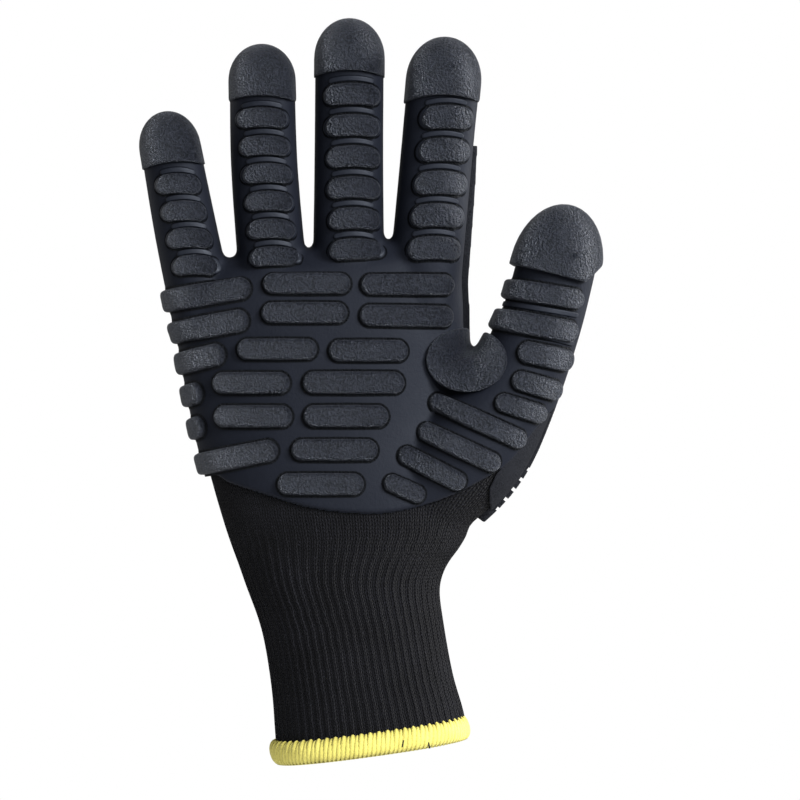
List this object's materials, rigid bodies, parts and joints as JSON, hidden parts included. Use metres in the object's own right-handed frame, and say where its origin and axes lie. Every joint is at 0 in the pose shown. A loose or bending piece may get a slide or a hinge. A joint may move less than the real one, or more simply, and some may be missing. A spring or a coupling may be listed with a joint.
{
  "type": "anti vibration glove",
  "caption": "Right-hand knitted work glove with a ribbed cuff and a moulded rubber palm facing whose raised bars and fingertip caps damp vibration.",
  "frame": {"origin": "middle of the wrist opening, in the plane of the hem's lower face", "axes": "+X towards the thumb, -Y the way the palm faces, +Z from the wrist to the fingertips"},
  "size_m": [0.1662, 0.052, 0.2682],
  "materials": {
    "knit": "matte ribbed knit",
    "facing_rubber": "matte, grained on the raised pads",
    "guard_rubber": "matte",
    "hem_yarn": "overlocked yarn"
  },
  "bodies": {
    "root": {"knit_cuff": "knit", "knit_palm": "knit", "knit_knuckles": "knit", "knit_little_stall": "knit", "knit_ring_stall": "knit", "knit_middle_stall": "knit", "knit_index_stall": "knit", "knit_thumb_stall": "knit", "rubber_facing": "facing_rubber", "index_guard": "guard_rubber", "thumb_guard": "guard_rubber", "hem": "hem_yarn"}
  },
  "joints": []
}
